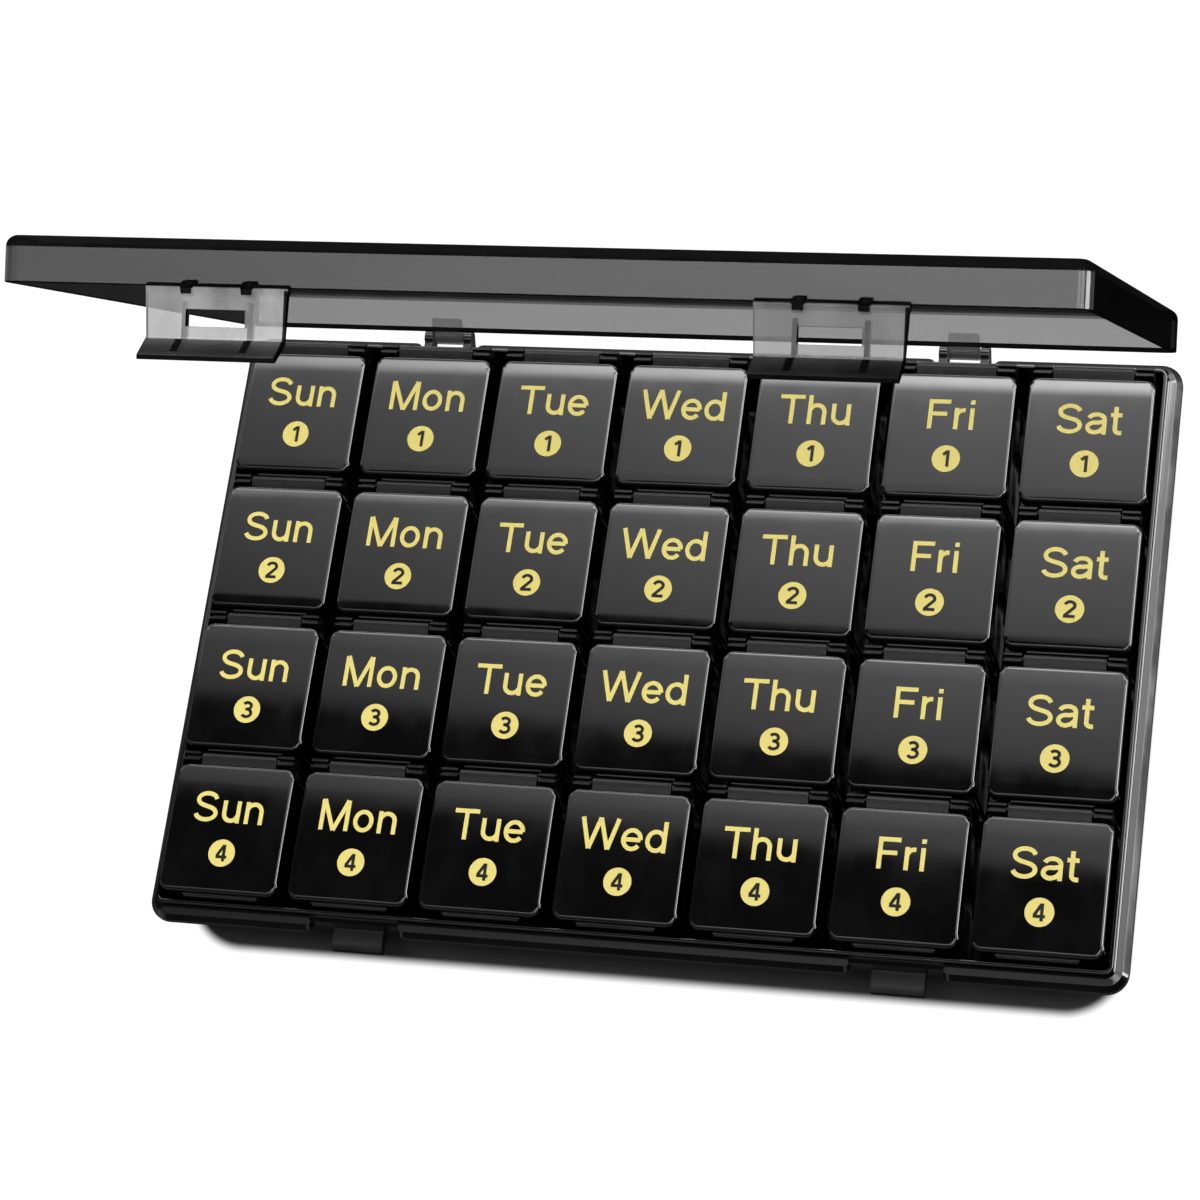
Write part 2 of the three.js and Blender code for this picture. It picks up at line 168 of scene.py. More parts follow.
class Finish(Nodes):
    """A moulded or printed surface, made on a Principled shader."""

    def __init__(self, name, **plain):
        self.material = bpy.data.materials.new(name)
        super().__init__(self.material)
        self.shader = self.tree.nodes["Principled BSDF"]
        self.place = self.add("ShaderNodeTexCoord").outputs["Object"]
        for socket, value in plain.items():
            self.shader.inputs[socket.replace("_", " ")].default_value = value

    def set(self, socket, value):
        self.wire(self.shader.inputs[socket], value)

    def noise(self, grain_mm, detail, stretch=(1, 1, 1)):
        """Noise whose blotches are about grain_mm across, drawn out along the axes by stretch."""
        scale = tuple(1 / part for part in stretch)
        drawn = self.add("ShaderNodeMapping", {}, {"Vector": self.place, "Scale": scale}).outputs[0]
        grain = {"Vector": drawn, "Scale": 1 / (grain_mm * MM), "Detail": detail}
        return self.value("ShaderNodeTexNoise", {}, grain)

    def along(self, axis):
        """The place along an axis, in millimetres."""
        return self.value("ShaderNodeSeparateXYZ", {}, {0: self.place}, "XYZ".index(axis)) / MM

    def blend(self, factor, first, second):
        node = self.add("ShaderNodeMix", {"data_type": "RGBA"}, {"Factor": factor, 6: first, 7: second})
        return node.outputs[2]

    def bump(self, height, distance_mm):
        relief = {"Height": height, "Distance": distance_mm * MM, "Strength": 1.0}
        self.set("Normal", self.add("ShaderNodeBump", {}, relief).outputs[0])


def grey(level):
    return (level, level, level, 1)


def pod_plastic():
    """High-gloss black styrene, with the slight waviness of a thin moulding and faint handling haze."""
    finish = Finish("pod_black_gloss", IOR=STYRENE_IOR)
    haze = finish.noise(9, 4, (1, 1.6, 1)).ramp(0.35, 0.75)
    finish.set("Base Color", finish.blend(haze, (0.003, 0.003, 0.0033, 1), (0.005, 0.005, 0.0055, 1)))
    finish.set("Roughness", 0.055 + haze * 0.05)
    finish.bump(finish.noise(11, 1), 0.02)
    return finish.material


def satin_plastic():
    """The same styrene on the hinge parts, which the mould leaves less polished."""
    finish = Finish("pod_black_satin", IOR=STYRENE_IOR, Specular_IOR_Level=0.25)
    haze = finish.noise(3, 3).ramp(0.35, 0.75)
    finish.set("Base Color", finish.blend(haze, grey(0.002), grey(0.004)))
    finish.set("Roughness", 0.3 + haze * 0.12)
    return finish.material


def tray_plastic():
    finish = Finish("tray_black_gloss", IOR=STYRENE_IOR)
    haze = finish.noise(14, 4).ramp(0.35, 0.75)
    finish.set("Base Color", finish.blend(haze, (0.002, 0.002, 0.0023, 1), (0.004, 0.004, 0.0044, 1)))
    finish.set("Roughness", 0.07 + haze * 0.05)
    finish.bump(finish.noise(16, 2), 0.03)
    return finish.material


def smoke_plastic():
    """Smoke-tinted clear styrene. It looks darker edge on, where sight passes through more of it."""
    finish = Finish("cover_smoke_clear", IOR=STYRENE_IOR)
    streaks = finish.noise(22, 3, (3, 1, 1)).ramp(0.3, 0.75)
    edge_on = finish.value("ShaderNodeLayerWeight", {}, {"Blend": 0.5}, "Facing").ramp(0.7, 0.95)
    finish.set("Base Color", finish.blend(streaks, grey(0.045), grey(0.06)))
    finish.set("Roughness", 0.06 + streaks * 0.05)
    finish.set("Alpha", 0.62 + streaks * 0.03 + edge_on * 0.3)
    finish.bump(finish.noise(30, 2), 0.03)
    return finish.material


def deep_smoke_plastic(name="smoke_deep_partly_painted_shade", shine=0.15):
    """The same styrene where sight passes through much of it: side walls and tabs. On the cover's side walls
    its darkness is partly painted shade.
    """
    finish = Finish(name, IOR=STYRENE_IOR, Specular_IOR_Level=shine)
    streaks = finish.noise(18, 3, (1, 2, 1)).ramp(0.3, 0.75)
    finish.set("Base Color", finish.blend(streaks, grey(0.006), grey(0.012)))
    finish.set("Roughness", 0.12 + streaks * 0.1)
    finish.set("Alpha", 0.93 + streaks * 0.03)
    return finish.material


def smoke_edge_plastic():
    """The same styrene along round edges and thin rims, where no light gets through. It also paints shade
    black onto shaded faces.
    """
    finish = Finish("smoke_edge_and_painted_shade", IOR=STYRENE_IOR, Specular_IOR_Level=0.0)
    streaks = finish.noise(12, 3).ramp(0.3, 0.75)
    finish.set("Base Color", finish.blend(streaks, grey(0.002), grey(0.006)))
    finish.set("Roughness", 0.3 + streaks * 0.1)
    finish.set("Alpha", 0.96 + streaks * 0.02)
    return finish.material


def smoke_inside_plastic():
    """The inner face of the cover's panel, which mirrors less than its outer face."""
    finish = Finish("cover_smoke_inside", IOR=STYRENE_IOR, Specular_IOR_Level=0.0)
    streaks = finish.noise(22, 3, (3, 1, 1)).ramp(0.3, 0.75)
    edge_on = finish.value("ShaderNodeLayerWeight", {}, {"Blend": 0.5}, "Facing").ramp(0.6, 0.9)
    finish.set("Base Color", finish.blend(streaks, grey(0.05), grey(0.08)))
    finish.set("Roughness", 0.2 + streaks * 0.1)
    finish.set("Alpha", 0.3 + streaks * 0.03 + edge_on * 0.5)
    return finish.material


def latch_plastic(name, milkiness_and_painted_light):
    """The same styrene on a latch, frosted by the mould and scuffed by thumbs. Its lightness is partly
    painted light.
    """
    finish = Finish(name, IOR=STYRENE_IOR)
    streaks = finish.noise(7, 3, (1, 2.5, 1)).ramp(0.3, 0.75)
    finish.set("Base Color", finish.blend(streaks, grey(0.7 * milkiness_and_painted_light), grey(1.3 * milkiness_and_painted_light)))
    finish.set("Roughness", 0.3 + streaks * 0.12)
    finish.set("Alpha", 0.5 + streaks * 0.08)
    return finish.material


def gold_ink():
    """Pale gold pad-printing ink, with the faint speckle of its screen."""
    finish = Finish("gold_ink", IOR=INK_IOR)
    speckle = finish.noise(0.35, 2).ramp(0.3, 0.7)
    finish.set("Base Color", finish.blend(speckle, (0.84, 0.71, 0.17, 1), (0.92, 0.78, 0.2, 1)))
    finish.set("Roughness", 0.42 + speckle * 0.1)
    return finish.material


def dark_ink():
    finish = Finish("numeral_ink", IOR=INK_IOR, Specular_IOR_Level=0.2)
    speckle = finish.noise(0.4, 2).ramp(0.3, 0.7)
    finish.set("Base Color", finish.blend(speckle, grey(0.004), grey(0.009)))
    finish.set("Roughness", 0.35 + speckle * 0.1)
    return finish.material


# Shapes


def arc(centre, radius, start, end, steps):
    """Points on a round stretch of a profile, from one angle in degrees to another."""
    angles = [math.radians(start + (end - start) * step / steps) for step in range(steps + 1)]
    x, y = centre
    return [(x + radius * math.cos(angle), y + radius * math.sin(angle)) for angle in angles]


def verts_of(geometry):
    return [part for part in geometry if isinstance(part, bmesh.types.BMVert)]


def moulded(half, corner, profile, steps, centre_y=0.0):
    """A solid drawn up round a rounded rectangle, through a profile of (offset from it, height)."""
    shape = bmesh.new()
    bmesh.ops.create_grid(shape, x_segments=1, y_segments=1, size=1)
    bmesh.ops.scale(shape, vec=(half[0], half[1], 1), verts=shape.verts)
    bmesh.ops.bevel(
        shape, geom=shape.verts[:], offset=corner, segments=steps,
        profile=0.5, affect="VERTICES", material=-1
    )
    face = shape.faces[:][0]

    def corner_arc(vert, offset):
        """The middle and the radius of the round corner that a point belongs to."""
        radius = max(corner + offset, LEAST_CORNER)
        across, along = half[0] + offset - radius, half[1] + offset - radius
        return Vector((math.copysign(across, vert.co.x), math.copysign(along, vert.co.y))), radius

    def spread(verts, offset, height, before):
        for vert in verts:
            outward = (vert.co.xy - corner_arc(vert, before)[0]).normalized()
            middle, radius = corner_arc(vert, offset)
            vert.co.xy = middle + outward * radius
            vert.co.z = height

    spread(shape.verts, *profile[0], 0.0)
    for (before, _), (offset, height) in zip(profile, profile[1:]):
        drawn = bmesh.ops.extrude_face_region(shape, geom=[face, *face.edges])["geom"]
        spread(verts_of(drawn), offset, height, before)
        face = next(part for part in drawn if isinstance(part, bmesh.types.BMFace))
    bmesh.ops.translate(shape, vec=(0, centre_y, 0), verts=shape.verts)
    bmesh.ops.recalc_face_normals(shape, faces=shape.faces)
    return shape


def bar(profile, start, end, edge=0.0):
    """A side profile of (y, z) points drawn out along X, with its edges rounded by edge."""
    shape = bmesh.new()
    face = shape.faces.new([shape.verts.new((start, y, z)) for y, z in profile])
    drawn = bmesh.ops.extrude_face_region(shape, geom=[face])["geom"]
    bmesh.ops.translate(shape, vec=(end - start, 0, 0), verts=verts_of(drawn))
    bmesh.ops.recalc_face_normals(shape, faces=shape.faces)
    if edge:
        sharp = [part for part in shape.edges if part.calc_face_angle(0) > CREASE]
        bmesh.ops.bevel(
            shape, geom=sharp, offset=edge, segments=2, profile=0.5, affect="EDGES", material=-1
        )
    return shape


def rod(radius, start, end, y, z, sides):
    """A round pin along X, from start to end."""
    shape = bmesh.new()
    bmesh.ops.create_cone(
        shape, cap_ends=True, segments=sides, radius1=radius, radius2=radius, depth=end - start
    )
    bmesh.ops.rotate(shape, matrix=Matrix.Rotation(math.pi / 2, 3, "Y"), verts=shape.verts)
    bmesh.ops.translate(shape, vec=((start + end) / 2, y, z), verts=shape.verts)
    return shape


def cut(shape, axis, places):
    """Scores a shape right through at each place along an axis, so that a later move has points to bend."""
    normal = Vector([float(axis == name) for name in "XYZ"])
    for place in places:
        geometry = shape.verts[:] + shape.edges[:] + shape.faces[:]
        bmesh.ops.bisect_plane(shape, geom=geometry, plane_co=normal * place, plane_no=normal)


def together(*shapes):
    """One shape that holds them all."""
    held = bmesh.new()
    for shape in shapes:
        part = bpy.data.meshes.new("part")
        shape.to_mesh(part)
        shape.free()
        held.from_mesh(part)
        bpy.data.meshes.remove(part)
    return held


def recoloured(shape, index, where=None):
    """Gives a shape's faces, or those for which where(centre, normal) holds, the finish of that index."""
    for face in shape.faces:
        if where is None or where(face.calc_center_median(), face.normal):
            face.material_index = index
    return shape


def moved(shape, y):
    bmesh.ops.translate(shape, vec=(0, y, 0), verts=shape.verts)
    return shape


def finished(name, shape, finishes):
    """A mesh in millimetres with smooth rounds and crisp creases."""
    mesh = bpy.data.meshes.new(name)
    shape.to_mesh(mesh)
    shape.free()
    mesh.shade_smooth()
    mesh.set_sharp_from_angle(angle=CREASE)
    for finish in finishes:
        mesh.materials.append(finish)
    return mesh


def placed(name, mesh, body, matrix=None, stands_for=(), weighted=True, solid=True):
    """Puts a mesh in place on its body, in metres. One that isn't solid takes no light from the lids."""
    mesh.transform(Matrix.Scale(MM, 4) @ (matrix or Matrix.Identity(4)))
    piece = bpy.data.objects.new(name, mesh)
    bpy.context.scene.collection.objects.link(piece)
    if weighted:
        normals = piece.modifiers.new("even_normals", "WEIGHTED_NORMAL")
        normals.keep_sharp = True
    piece.visible_glossy = piece.visible_shadow = solid
    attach(piece, body)
    if stands_for:
        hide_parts(*stands_for)


# Pods


def crown_drop(x, y):
    """How far the lid's crowned top lies below its middle."""
    across_radius, along_radius = 620, 480
    front_start, front_slope = 12.5, 0.022
    rear_start, rear_curve = 10.5, 0.0065
    along = y - LID_CENTRE_Y
    front, rear = max(0.0, -along - front_start), max(0.0, along - rear_start)
    crown = x * x / (2 * across_radius) + along * along / (2 * along_radius)
    return crown + front_slope * front + rear_curve * rear * rear


def lid_shape():
    half_width, half_depth = LID_HALF
    wall, roof, edge, corner = 1.3, 1.4, 0.8, 2.4
    inner_round, rim_round = 0.6, 0.15
    profile = [(-wall - inner_round, LID_TOP - roof), (-wall, LID_TOP - roof - inner_round)]
    profile += [(-wall, LID_BASE), (-rim_round, LID_BASE), (0, LID_BASE + rim_round)]
    profile += arc((-edge, LID_TOP - edge), edge, 0, 90, 5)
    cap = moulded(LID_HALF, corner, profile, 6, LID_CENTRE_Y)

    # Lines for the crown to bend at, closer together where it falls away
    hold = edge + 0.45
    front, rear = LID_CENTRE_Y - half_depth, LID_CENTRE_Y + half_depth
    cut(cap, "X", [side * place for place in (half_width - hold, 8.6, 4.3) for side in (-1, 1)] + [0.0])
    cut(cap, "Y", [front + hold, front + 2.4, front + 3.4, front + 8.5, LID_CENTRE_Y, 4.6])
    cut(cap, "Y", [rear - 4.9, rear - 3.6, rear - 2.4, rear - hold])
    for vert in cap.verts:
        if vert.co.z > LID_TOP - edge - 0.01:
            vert.co.z -= crown_drop(vert.co.x, vert.co.y)

    # The lip under the front edge, for a thumb, which narrows outwards
    lip_half, lip_taper = half_width - 4.4, 1.1
    root, nose, lip_top = front + 0.6, front - 0.7, LID_BASE + 1.3
    lip = bar([(root, LID_BASE), (root, lip_top), (nose + 0.35, lip_top - 0.1),
               (nose, lip_top - 0.55), (nose, LID_BASE)], -lip_half, lip_half)
    for vert in lip.verts:
        if vert.co.y < front:
            vert.co.x -= math.copysign(lip_taper, vert.co.x)

    # The knuckle behind, with a pin that stands out at both ends
    knuckle_half, knuckle_radius, pin_half, pin_radius = 9.2, 1.2, 13.1, 0.55
    web = [(rear - 0.65, PIN_Z + 0.65), (rear - 0.65, PIN_Z - 1.3)]
    web += arc((PIN_Y, PIN_Z), knuckle_radius, -135, 135, 10)
    knuckle = recoloured(bar(web, -knuckle_half, knuckle_half, 0.15), 1)
    pins = recoloured(rod(pin_radius, -pin_half, pin_half, PIN_Y, PIN_Z, 16), 1)
    return together(cap, lip, knuckle, pins)


def ear_shape(start, end):
    """A hinge ear on a box, with a mouth on top that the lid's pin snaps into."""
    root, foot, shoulder = LID_CENTRE_Y + LID_HALF[1] - 1.1, 16.7, 21.0
    half, bore, mouth, tip = 1.35, 0.7, 0.45, 0.95
    top = PIN_Z + half
    profile = [(root, foot), (PIN_Y + half, PIN_Z - 2 * half), (PIN_Y + half, PIN_Z + bore)]
    profile += [(PIN_Y + tip, top), (PIN_Y + mouth, top)]
    profile += arc((PIN_Y, PIN_Z), bore, 40, -220, 10)
    profile += [(PIN_Y - mouth, top), (PIN_Y - tip, top), (PIN_Y - half, PIN_Z + bore)]
    profile += [(PIN_Y - half, shoulder), (root, shoulder)]
    return recoloured(bar(profile, start, end), 1)


def box_shape():
    under_lid = 0.5
    half = (LID_HALF[0] - under_lid, LID_HALF[1] - under_lid)
    wall, floor, draft, height, corner = 1.2, 1.4, 0.4, 21.3, 2.1
    foot, rim, rim_band = 1.0, 0.15, 2.3
    profile = [(-draft - foot, 0.0), (-draft - 0.3, 0.3), (-draft, foot), (-0.12, height - rim_band - 0.1)]
    profile += [(0, height - rim_band), (0, height - rim), (-rim, height), (-wall, height)]
    inside = -wall - draft
    profile += [(inside, floor + 1.1), (inside - 0.35, floor + 0.35), (inside - 0.7, floor)]
    cup = moulded(half, corner, profile, 6, LID_CENTRE_Y)

    # A finger groove down the middle of each side wall
    middle, reach, slope, depth = LID_CENTRE_Y, 3.1, 0.7, 0.55
    cut(cup, "Y", [middle - reach, middle - reach + slope, middle + reach - slope, middle + reach])
    for vert in cup.verts:
        if abs(vert.co.y - middle) < reach - 0.5 and abs(vert.co.x) > half[0] - draft - 0.2:
            vert.co.x -= math.copysign(depth, vert.co.x)

    ear_start, ear_end = 9.6, 13.6
    return together(cup, ear_shape(-ear_end, -ear_start), ear_shape(ear_start, ear_end))


def round_stretch(middle, across, up, start, end, steps=14):
    """Points on part of an ellipse, from one angle in degrees to another."""
    points = arc(middle, across, start, end, steps)
    return [(x, middle[1] + (y - middle[1]) * up / across) for x, y in points]


# The printed characters as the middle lines of their strokes, for capitals 7 high with strokes 1 wide.
# A stroke that closes on itself repeats its first point. Each character comes with its advance.
BOWL = round_stretch((2.65, 2.55), 1.85, 2.1, 0, 360, 28)
SHOULDER = [(1.1, 2.8)] + arc((2.75, 2.95), 1.65, 180, 0, 12) + [(4.4, 0)]
GLYPHS = {
    "S": (6.5, [round_stretch((3.25, 5.1), 2.15, 1.42, 8, 248)
                + round_stretch((3.25, 1.95), 2.35, 1.5, 68, -170)]),
    "M": (8.2, [[(1.2, 0), (1.2, 7)], [(7.0, 0), (7.0, 7)], [(1.3, 7), (4.1, 0)], [(4.1, 0), (6.9, 7)]]),
    "T": (6.0, [[(0.2, 6.5), (5.8, 6.5)], [(3.0, 0), (3.0, 6.5)]]),
    "W": (9.2, [[(0.6, 7), (2.5, 0)], [(2.5, 0), (4.6, 7)], [(4.6, 7), (6.7, 0)], [(6.7, 0), (8.6, 7)]]),
    "F": (6.0, [[(1.3, 0), (1.3, 7)], [(1.3, 6.5), (5.6, 6.5)], [(1.3, 3.6), (5.0, 3.6)]]),
    "u": (5.4, [[(1.1, 5.1)] + arc((2.75, 2.15), 1.65, 180, 360, 12), [(4.4, 0), (4.4, 5.1)]]),
    "n": (5.4, [[(1.1, 0), (1.1, 5.1)], SHOULDER]),
    "h": (5.4, [[(1.1, 0), (1.1, 7)], SHOULDER]),
    "o": (5.4, [BOWL]),
    "d": (5.4, [BOWL, [(4.5, 0), (4.5, 7)]]),
    "e": (5.4, [round_stretch((2.75, 2.55), 1.9, 2.1, 0, 322, 26), [(0.9, 2.55), (4.65, 2.55)]]),
    "r": (3.4, [[(1.1, 0), (1.1, 5.1)], [(1.1, 2.8)] + arc((2.7, 3.0), 1.6, 180, 80, 8)]),
    "i": (2.2, [[(1.1, 0), (1.1, 5.1)], [(1.1, 6), (1.1, 7)]]),
    "a": (5.4, [round_stretch((2.65, 3.5), 1.7, 1.2, 165, 0) + [(4.35, 0)],
                [(4.35, 3.0), (3.0, 2.75)] + round_stretch((2.3, 1.6), 1.5, 1.15, 95, 275)
                + [(3.4, 0.75), (4.35, 1.7)]]),
    "t": (2.8, [[(1.3, 6.6)] + arc((2.2, 1.4), 0.9, 180, 270, 6) + [(2.8, 0.5)],
                [(0.2, 4.65), (2.7, 4.65)]]),
    "1": (3.4, [[(0.4, 5.1), (2.2, 6.6)], [(2.4, 0), (2.4, 7)]]),
    "2": (4.9, [round_stretch((2.5, 4.95), 1.9, 1.6, 168, -28) + [(0.6, 0.7)], [(0.1, 0.5), (4.7, 0.5)]]),
    "3": (4.9, [round_stretch((2.4, 5.1), 1.7, 1.4, 150, -90)
                + round_stretch((2.4, 2.05), 1.95, 1.6, 90, -155)]),
    "4": (5.0, [[(3.4, 0), (3.4, 7)], [(3.2, 6.7), (0.5, 2.2)], [(0.1, 1.9), (4.8, 1.9)]]),
}


def ribbon(shape, points, half):
    """A flat strip of the given half width along a line of points."""
    closed = (Vector(points[0]) - Vector(points[-1])).length < 0.001
    line = [Vector(point) for point in (points[:-1] if closed else points)]
    sides = []
    for index, point in enumerate(line):
        before = line[index - 1] if index or closed else None
        after = line[(index + 1) % len(line)] if index < len(line) - 1 or closed else None
        ways = [(point - before).normalized()] if before is not None else []
        ways += [(after - point).normalized()] if after is not None else []
        way = sum(ways, Vector((0, 0))).normalized()
        aside = Vector((-way.y, way.x)) * half / max(0.5, way.dot(ways[0]))
        sides.append([shape.verts.new((*(point + aside * side), 0)) for side in (1, -1)])
    pairs = list(zip(sides, sides[1:])) + ([(sides[-1], sides[0])] if closed else [])
    for (left, right), (next_left, next_right) in pairs:
        shape.faces.new((left, right, next_right, next_left))


def lettering(text, cap_height, stroke, y):
    """Printed characters as a flat mesh in millimetres, their middle at (0, y)."""
    shape = bmesh.new()
    scale = cap_height / 7
    pen = -sum(GLYPHS[character][0] for character in text) / 2
    for character in text:
        advance, strokes = GLYPHS[character]
        for points in strokes:
            ribbon(shape, [((pen + px) * scale, y + (py - 3.5) * scale) for px, py in points], stroke / 2)
        pen += advance
    return shape


# How far the gold print and the dark numeral on it stand above the lid
PRINT_RISE = 0.03
NUMERAL_RISE = 0.05


def on_lid(shape, rise):
    """Lays a flat print on the lid's crown, rise above it."""
    for vert in shape.verts:
        vert.co.z = LID_TOP - crown_drop(vert.co.x, vert.co.y) + rise
    return shape


def disc_print():
    shape = bmesh.new()
    bmesh.ops.create_circle(shape, cap_ends=True, segments=40, radius=DISC_RADIUS)
    return on_lid(moved(shape, DISC_Y), PRINT_RISE)


def make_pods():
    black, gold, dark = pod_plastic(), gold_ink(), dark_ink()
    satin = satin_plastic()
    lid = finished("lid", lid_shape(), [black, satin])
    box = finished("box", box_shape(), [black, satin])
    disc = finished("disc", disc_print(), [gold])
    days, numerals = {}, {}
    for day in DAYS:
        print_shape = lettering(day.capitalize(), cap_height=7.3, stroke=1.02, y=DAY_NAME_Y)
        days[day] = finished(day, on_lid(print_shape, PRINT_RISE), [gold])
    for week in WEEKS:
        print_shape = lettering(str(week), cap_height=4.0, stroke=0.74, y=DISC_Y)
        numerals[week] = finished(str(week), on_lid(print_shape, NUMERAL_RISE), [dark])
    middle_column, middle_row = (len(DAYS) - 1) / 2, (len(WEEKS) - 1) / 2
    for row, week in enumerate(WEEKS):
        for column, day in enumerate(DAYS):
            x, y = (column - middle_column) * COLUMN_PITCH, (middle_row - row) * ROW_PITCH
            cell = Matrix.Translation((x, y, POD_SEAT))
            key = f"{week}_{day}"
            lid_body = f"lid_{key}"
            placed(f"cap_{key}", lid.copy(), lid_body, cell, [f"lid_{key}"])
            placed(f"cup_{key}", box.copy(), f"pod_{key}", cell, [f"box_{key}"])
            placed(f"day_name_{key}", days[day].copy(), lid_body, cell, weighted=False)
            placed(f"week_disc_{key}", disc.copy(), lid_body, cell, weighted=False)
            placed(f"week_number_{key}", numerals[week].copy(), lid_body, cell, weighted=False)
    for mesh in [lid, box, disc, *days.values(), *numerals.values()]:
        bpy.data.meshes.remove(mesh)


# Tray


def tray_shape():
    wall, lip, lip_bottom, foot = 1.8, 4.0, 16.5, 3.0
    ledge_out, spigot, spigot_top, ledge_fall = 2.7, 1.0, 23.5, 0.4
    profile = arc((-2.9, foot), foot, -90, 0, 6)
    profile += [(wall - 0.35, lip_bottom - 0.35)] + arc((wall + 0.4, lip_bottom - 0.4), 0.4, 180, 90, 3)
    profile += arc((lip - 0.35, lip_bottom + 0.35), 0.35, -90, 0, 3)
    profile += arc((lip - 0.45, LEDGE - 2.1), 0.45, 0, 50, 3)
    profile += arc((ledge_out - 0.15, LEDGE - ledge_fall - 0.25), 0.25, 50, 76, 2)
    profile += [(spigot + 0.3, LEDGE - 0.05), (spigot, LEDGE + 0.25)]
    profile += arc((spigot - 0.3, spigot_top - 0.3), 0.3, 0, 90, 3)
    profile += arc((0.3, spigot_top - 0.3), 0.3, 90, 180, 3)
    profile += [(-1.3, 3.2), (-1.55, 2.2), (-2.3, 1.6)]
    shell = moulded(CAVITY_HALF, CAVITY_CORNER, profile, 8)

    # Where the latches and the hinges pass the rim, the lip is drawn back to the wall, with rounded ends
    wall_y = CAVITY_HALF[1] + wall
    latch_gap_half, hinge_gap_half = 10.3, 6.7
    turns = (0.0, 0.25, 0.6, 1.1, 1.7)
    for side, half in ((-1, latch_gap_half), (1, hinge_gap_half)):
        middles = (-HINGE_X, HINGE_X)
        cut(shell, "X", [x + way * (half + turn) for x in middles for way in (-1, 1) for turn in turns])
        for vert in shell.verts:
            past = side * vert.co.y - wall_y
            near = min(abs(vert.co.x - HINGE_X), abs(vert.co.x + HINGE_X)) - half
            if past > 0.001 and near < turns[-1] and vert.co.z > lip_bottom - 0.5:
                rounding = 1 - max(0.0, near) / turns[-1]
                reach = 0.0 if near < 0.001 else math.sqrt(max(0.0, 1 - rounding * rounding))
                vert.co.y = side * (wall_y + past * reach)
    return shell


def rib_shapes():
    """The low ribs on the tray's floor that keep the pods apart."""
    half, foot, top, chamfer, reach_x, reach_y, end_chamfer = 1.1, 1.2, 6.6, 0.3, 107.0, 67.2, 0.5

    def section(half_length, slope):
        rising = [(-half_length, foot), (-half_length, top - slope), (-half_length + slope, top)]
        return rising + [(-y, z) for y, z in reversed(rising)]

    ribs = []
    for column in range(1, len(DAYS)):
        x = (column - len(DAYS) / 2) * COLUMN_PITCH
        ribs.append(bar(section(reach_y, end_chamfer), x - half, x + half))
    for row in range(1, len(WEEKS)):
        y = (row - len(WEEKS) / 2) * ROW_PITCH + LID_CENTRE_Y
        ribs.append(moved(bar(section(half, chamfer), -reach_x, reach_x), y))
    return ribs


def catch_shapes():
    """The two noses on the tray's front that the latches' windows close over."""
    root, half = -70.8, 6.0
    high, low, nose = LATCH_Z - 4.6, LATCH_Z - 7.3, LATCH_Y - 2.0
    profile = [(root, low), (root, high), (LATCH_Y + 0.3, high), (nose + 0.2, high - 0.7)]
    profile += [(nose, high - 1.0), (nose, low + 0.5), (nose + 0.3, low + 0.15), (LATCH_Y - 1.1, low)]
    return [recoloured(bar(profile, x - half, x + half), 1) for x in (-LATCH_X, LATCH_X)]


def tray_ear_shapes():
    """The pairs of ears behind the tray that hold the cover's pins."""
    root, radius, inner, outer = CAVITY_HALF[1] + 0.9, 1.9, 3.9, 5.9
    profile = [(root, HINGE_Z + radius / 2)] + arc((HINGE_Y, HINGE_Z), radius, 150, -60, 12)
    profile += [(root, HINGE_Z - 6.5)]
    ears = []
    for x in (-HINGE_X, HINGE_X):
        ears.append(bar(profile, x + inner, x + outer, 0.15))
        ears.append(bar(profile, x - outer, x - inner, 0.15))
    return ears


def make_tray():
    shape = together(tray_shape(), *rib_shapes(), *catch_shapes(), *tray_ear_shapes())
    mesh = finished("tray_moulding", shape, [tray_plastic(), satin_plastic()])
    placed("tray_moulding", mesh, "tray", None, ["tray"])


# Cover and latches


# How far a latch's two lugs stand from its middle
LUG_X = 6.5


def opened():
    """Swings a closed cover's pieces up about its hinges."""
    hinge = Vector((0, HINGE_Y, HINGE_Z))
    swing = Matrix.Rotation(-math.radians(OPEN_DEGREES), 4, "X")
    return Matrix.Translation(hinge) @ swing @ Matrix.Translation(-hinge)


def cover_shape():
    inner, outer, edge, inner_round = 1.3, 2.7, 2.45, 0.6
    rim_round, rear_band, front_band = 0.2, 1.1, 0.15
    profile = arc((inner - inner_round, CEILING - inner_round), inner_round, 90, 0, 4)
    profile += [(inner, SKIRT + rear_band), (inner, SKIRT + rim_round), (inner + rim_round, SKIRT)]
    profile += [(outer - rim_round, SKIRT), (outer, SKIRT + rim_round), (outer, SKIRT + rear_band)]
    profile += arc((outer - edge, COVER_TOP - edge), edge, 0, 90, 6)
    cover = moulded(CAVITY_HALF, CAVITY_CORNER, profile, 12)

    def on_rim(centre, normal):
        return centre.z < SKIRT + (rear_band if centre.y > 0 else front_band)

    # Side walls, then the round top edge, the rim and the right-hand face, then the panel's inner face. The
    # right-hand face's black is painted shade.
    # The side walls' darker smoke is partly painted shade
    recoloured(cover, 1, lambda centre, normal: abs(normal.x) > 0.8)
    recoloured(cover, 2, lambda centre, normal: centre.z > COVER_TOP - edge and 0.02 < normal.z < 0.99)
    recoloured(cover, 2, on_rim)
    # Painted shade: the right-hand face alone is made black, darker than the left wall
    recoloured(cover, 2, lambda centre, normal: centre.x > CAVITY_HALF[0] and normal.x > 0.97)
    return recoloured(cover, 3, lambda centre, normal: normal.z < -0.99 and centre.z > SKIRT + 1)


